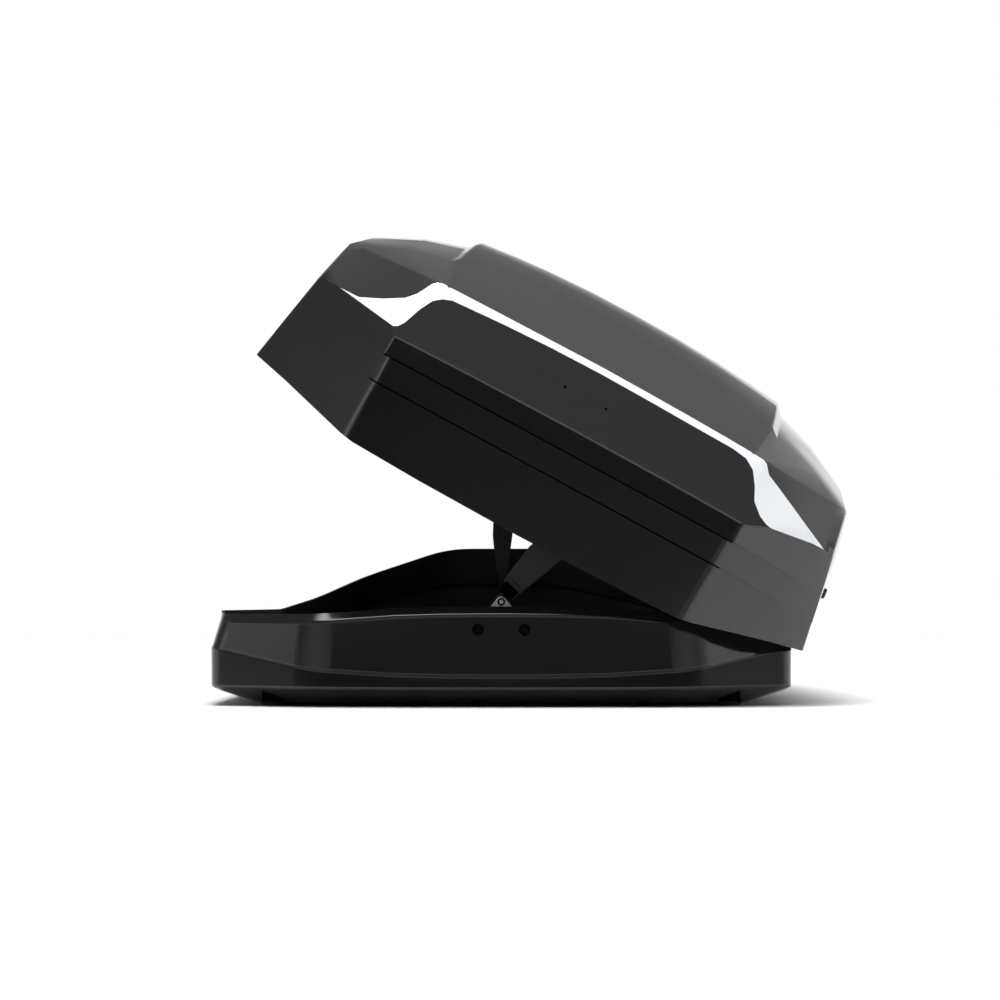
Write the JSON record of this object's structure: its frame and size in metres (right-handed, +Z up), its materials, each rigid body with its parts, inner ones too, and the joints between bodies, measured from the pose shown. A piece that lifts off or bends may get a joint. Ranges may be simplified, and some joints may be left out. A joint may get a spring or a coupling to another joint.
{
  "type": "roof cargo box",
  "caption": "Faceted gloss black roof cargo box; its lid opens to either side and stands open on the right hinge, held by telescoping lifter struts over a shallow black tray.",
  "frame": {"origin": "centre of the flat underside of the base's ribs", "axes": "+X to the right seen from behind the box, +Y forwards to the nose, +Z up"},
  "size_m": [0.9447, 2.09, 0.7118],
  "materials": {
    "gloss_black_shell": "high gloss",
    "textured_black_base": "fine texture",
    "black_steel": "satin",
    "zinc_steel": "zinc plated",
    "aluminium_rail": "anodised",
    "strut_cover": "satin",
    "lock_chrome": "polished",
    "grey_grip": "soft touch",
    "black_nylon": "satin"
  },
  "bodies": {
    "base": {"base_shell": "textured_black_base", "left_floor_rail": "aluminium_rail", "right_floor_rail": "aluminium_rail", "left_catch_rail": "black_steel", "right_catch_rail": "black_steel", "rear_lifter_bracket": "zinc_steel", "front_lifter_bracket": "zinc_steel", "rear_lifter_pin": "zinc_steel", "front_lifter_pin": "zinc_steel", "rear_bolt_left": "black_nylon", "rear_bolt_right": "black_nylon", "rear_left_clamp_housing": "black_nylon", "rear_right_clamp_housing": "black_nylon", "front_left_clamp_housing": "black_nylon", "front_right_clamp_housing": "black_nylon"},
    "left_bar": {"left_hinge_bar": "zinc_steel"},
    "lid": {"lid_shell": "gloss_black_shell", "left_lid_hinge": "zinc_steel", "right_lid_hinge": "zinc_steel", "right_hinge_bar": "zinc_steel", "rear_lid_track": "aluminium_rail", "front_lid_track": "aluminium_rail", "left_lock_plate": "black_nylon", "right_lock_plate": "black_nylon", "left_grab_handle": "grey_grip", "right_grab_handle": "grey_grip"},
    "rear_left_sleeve": {"rear_left_strut_sleeve": "strut_cover"},
    "rear_left_tube": {"rear_left_strut_tube": "black_steel"},
    "rear_left_rod": {"rear_left_strut_rod": "zinc_steel"},
    "rear_right_sleeve": {"rear_right_strut_sleeve": "strut_cover"},
    "rear_right_tube": {"rear_right_strut_tube": "black_steel"},
    "rear_right_rod": {"rear_right_strut_rod": "zinc_steel"},
    "front_left_sleeve": {"front_left_strut_sleeve": "strut_cover"},
    "front_left_tube": {"front_left_strut_tube": "black_steel"},
    "front_left_rod": {"front_left_strut_rod": "zinc_steel"},
    "front_right_sleeve": {"front_right_strut_sleeve": "strut_cover"},
    "front_right_tube": {"front_right_strut_tube": "black_steel"},
    "front_right_rod": {"front_right_strut_rod": "zinc_steel"},
    "left_knob": {"left_lock_knob": "black_nylon"},
    "left_key": {"left_key_cylinder": "lock_chrome"},
    "left_locks": {"left_lock_bar": "black_steel"},
    "right_knob": {"right_lock_knob": "black_nylon"},
    "right_key": {"right_key_cylinder": "lock_chrome"},
    "right_locks": {"right_lock_bar": "black_steel"},
    "rear_left_clamp_knob": {"rear_left_clamp_knob": "grey_grip"},
    "rear_left_clamp_stud": {"rear_left_clamp_stud": "zinc_steel"},
    "rear_right_clamp_knob": {"rear_right_clamp_knob": "grey_grip"},
    "rear_right_clamp_stud": {"rear_right_clamp_stud": "zinc_steel"},
    "front_left_clamp_knob": {"front_left_clamp_knob": "grey_grip"},
    "front_left_clamp_stud": {"front_left_clamp_stud": "zinc_steel"},
    "front_right_clamp_knob": {"front_right_clamp_knob": "grey_grip"},
    "front_right_clamp_stud": {"front_right_clamp_stud": "zinc_steel"}
  },
  "joints": [
    {"name": "lid_right_hinge", "type": "hinge", "parent": "base", "child": "left_bar", "pos_m": [0.4, 0, 0.113], "axis": [0, 1, 0], "range_deg": [-28.5, 0]},
    {"name": "lid_left_hinge", "type": "hinge", "parent": "left_bar", "child": "lid", "pos_m": [-0.30305, 0, 0.49473], "axis": [0, 1, 0], "range_deg": [-28.5, 0]},
    {"name": "rear_left_strut_swing", "type": "hinge", "parent": "base", "child": "rear_left_sleeve", "pos_m": [0, -0.839, 0.147], "axis": [0, 1, 0], "range_deg": [-48.05, 0]},
    {"name": "rear_left_tube_slide", "type": "slide", "parent": "rear_left_sleeve", "child": "rear_left_tube", "axis": [0.0523, 0, 0.9986], "range_m": [-0.1668, 0]},
    {"name": "rear_left_rod_slide", "type": "slide", "parent": "rear_left_tube", "child": "rear_left_rod", "axis": [0.0523, 0, 0.9986], "range_m": [0, 0.1394]},
    {"name": "rear_right_strut_swing", "type": "hinge", "parent": "base", "child": "rear_right_sleeve", "pos_m": [0, -0.865, 0.147], "axis": [0, 1, 0], "range_deg": [-48.05, 0]},
    {"name": "rear_right_tube_slide", "type": "slide", "parent": "rear_right_sleeve", "child": "rear_right_tube", "axis": [0.7071, 0, 0.7071], "range_m": [-0.1394, 0]},
    {"name": "rear_right_rod_slide", "type": "slide", "parent": "rear_right_tube", "child": "rear_right_rod", "axis": [0.7071, 0, 0.7071], "range_m": [0, 0.1668]},
    {"name": "front_left_strut_swing", "type": "hinge", "parent": "base", "child": "front_left_sleeve", "pos_m": [0, 0.653, 0.147], "axis": [0, 1, 0], "range_deg": [-48.05, 0]},
    {"name": "front_left_tube_slide", "type": "slide", "parent": "front_left_sleeve", "child": "front_left_tube", "axis": [0.0523, 0, 0.9986], "range_m": [-0.1668, 0]},
    {"name": "front_left_rod_slide", "type": "slide", "parent": "front_left_tube", "child": "front_left_rod", "axis": [0.0523, 0, 0.9986], "range_m": [0, 0.1394]},
    {"name": "front_right_strut_swing", "type": "hinge", "parent": "base", "child": "front_right_sleeve", "pos_m": [0, 0.627, 0.147], "axis": [0, 1, 0], "range_deg": [-48.05, 0]},
    {"name": "front_right_tube_slide", "type": "slide", "parent": "front_right_sleeve", "child": "front_right_tube", "axis": [0.7071, 0, 0.7071], "range_m": [-0.1394, 0]},
    {"name": "front_right_rod_slide", "type": "slide", "parent": "front_right_tube", "child": "front_right_rod", "axis": [0.7071, 0, 0.7071], "range_m": [0, 0.1668]},
    {"name": "left_lock_turn", "type": "hinge", "parent": "lid", "child": "left_knob", "pos_m": [-0.29627, -0.5, 0.59231], "axis": [-0.8241, 0, 0.5664], "range_deg": [-90.1, 0]},
    {"name": "left_key_turn", "type": "hinge", "parent": "left_knob", "child": "left_key", "pos_m": [-0.29627, -0.5, 0.59231], "axis": [-0.8241, 0, 0.5664], "range_deg": [0, 90]},
    {"name": "left_lock_slide", "type": "slide", "parent": "lid", "child": "left_locks", "axis": [0, 1, 0], "range_m": [-0.016, 0]},
    {"name": "right_lock_turn", "type": "hinge", "parent": "lid", "child": "right_knob", "pos_m": [0.47815, -0.5, 0.17184], "axis": [0.9239, 0, -0.3827], "range_deg": [0, 90.1]},
    {"name": "right_key_turn", "type": "hinge", "parent": "right_knob", "child": "right_key", "pos_m": [0.47815, -0.5, 0.17184], "axis": [0.9239, 0, -0.3827], "range_deg": [0, 90]},
    {"name": "right_lock_slide", "type": "slide", "parent": "lid", "child": "right_locks", "axis": [0, -1, 0], "range_m": [0, 0.016]},
    {"name": "rear_left_clamp_turn", "type": "hinge", "parent": "base", "child": "rear_left_clamp_knob", "pos_m": [-0.2, -0.46, 0.06], "axis": [0, 0, 1], "range_deg": [0, 180.1]},
    {"name": "rear_left_clamp_lift", "type": "slide", "parent": "base", "child": "rear_left_clamp_stud", "axis": [0, 0, 1], "range_m": [0, 0.0025]},
    {"name": "rear_right_clamp_turn", "type": "hinge", "parent": "base", "child": "rear_right_clamp_knob", "pos_m": [0.2, -0.46, 0.06], "axis": [0, 0, 1], "range_deg": [0, 180.1]},
    {"name": "rear_right_clamp_lift", "type": "slide", "parent": "base", "child": "rear_right_clamp_stud", "axis": [0, 0, 1], "range_m": [0, 0.0025]},
    {"name": "front_left_clamp_turn", "type": "hinge", "parent": "base", "child": "front_left_clamp_knob", "pos_m": [-0.2, 0.32, 0.06], "axis": [0, 0, 1], "range_deg": [0, 180.1]},
    {"name": "front_left_clamp_lift", "type": "slide", "parent": "base", "child": "front_left_clamp_stud", "axis": [0, 0, 1], "range_m": [0, 0.0025]},
    {"name": "front_right_clamp_turn", "type": "hinge", "parent": "base", "child": "front_right_clamp_knob", "pos_m": [0.2, 0.32, 0.06], "axis": [0, 0, 1], "range_deg": [0, 180.1]},
    {"name": "front_right_clamp_lift", "type": "slide", "parent": "base", "child": "front_right_clamp_stud", "axis": [0, 0, 1], "range_m": [0, 0.0025]}
  ],
  "couplings": [
    {"joint": "rear_left_strut_swing", "follows": "lid_right_hinge", "ratio": 1.6842},
    {"joint": "rear_left_tube_slide", "follows": "lid_right_hinge", "m_per_rad": 0.335},
    {"joint": "rear_left_rod_slide", "follows": "lid_left_hinge", "m_per_rad": -0.28},
    {"joint": "rear_right_strut_swing", "follows": "lid_left_hinge", "ratio": 1.6842},
    {"joint": "rear_right_tube_slide", "follows": "lid_right_hinge", "m_per_rad": 0.28},
    {"joint": "rear_right_rod_slide", "follows": "lid_left_hinge", "m_per_rad": -0.335},
    {"joint": "front_left_strut_swing", "follows": "lid_right_hinge", "ratio": 1.6842},
    {"joint": "front_left_tube_slide", "follows": "lid_right_hinge", "m_per_rad": 0.335},
    {"joint": "front_left_rod_slide", "follows": "lid_left_hinge", "m_per_rad": -0.28},
    {"joint": "front_right_strut_swing", "follows": "lid_left_hinge", "ratio": 1.6842},
    {"joint": "front_right_tube_slide", "follows": "lid_right_hinge", "m_per_rad": 0.28},
    {"joint": "front_right_rod_slide", "follows": "lid_left_hinge", "m_per_rad": -0.335},
    {"joint": "left_lock_turn", "follows": "left_lock_slide", "rad_per_m": 98.175},
    {"joint": "right_lock_turn", "follows": "right_lock_slide", "rad_per_m": 98.175},
    {"joint": "rear_left_clamp_turn", "follows": "rear_left_clamp_lift", "rad_per_m": 1256.6},
    {"joint": "rear_right_clamp_turn", "follows": "rear_right_clamp_lift", "rad_per_m": 1256.6},
    {"joint": "front_left_clamp_turn", "follows": "front_left_clamp_lift", "rad_per_m": 1256.6},
    {"joint": "front_right_clamp_turn", "follows": "front_right_clamp_lift", "rad_per_m": 1256.6}
  ]
}
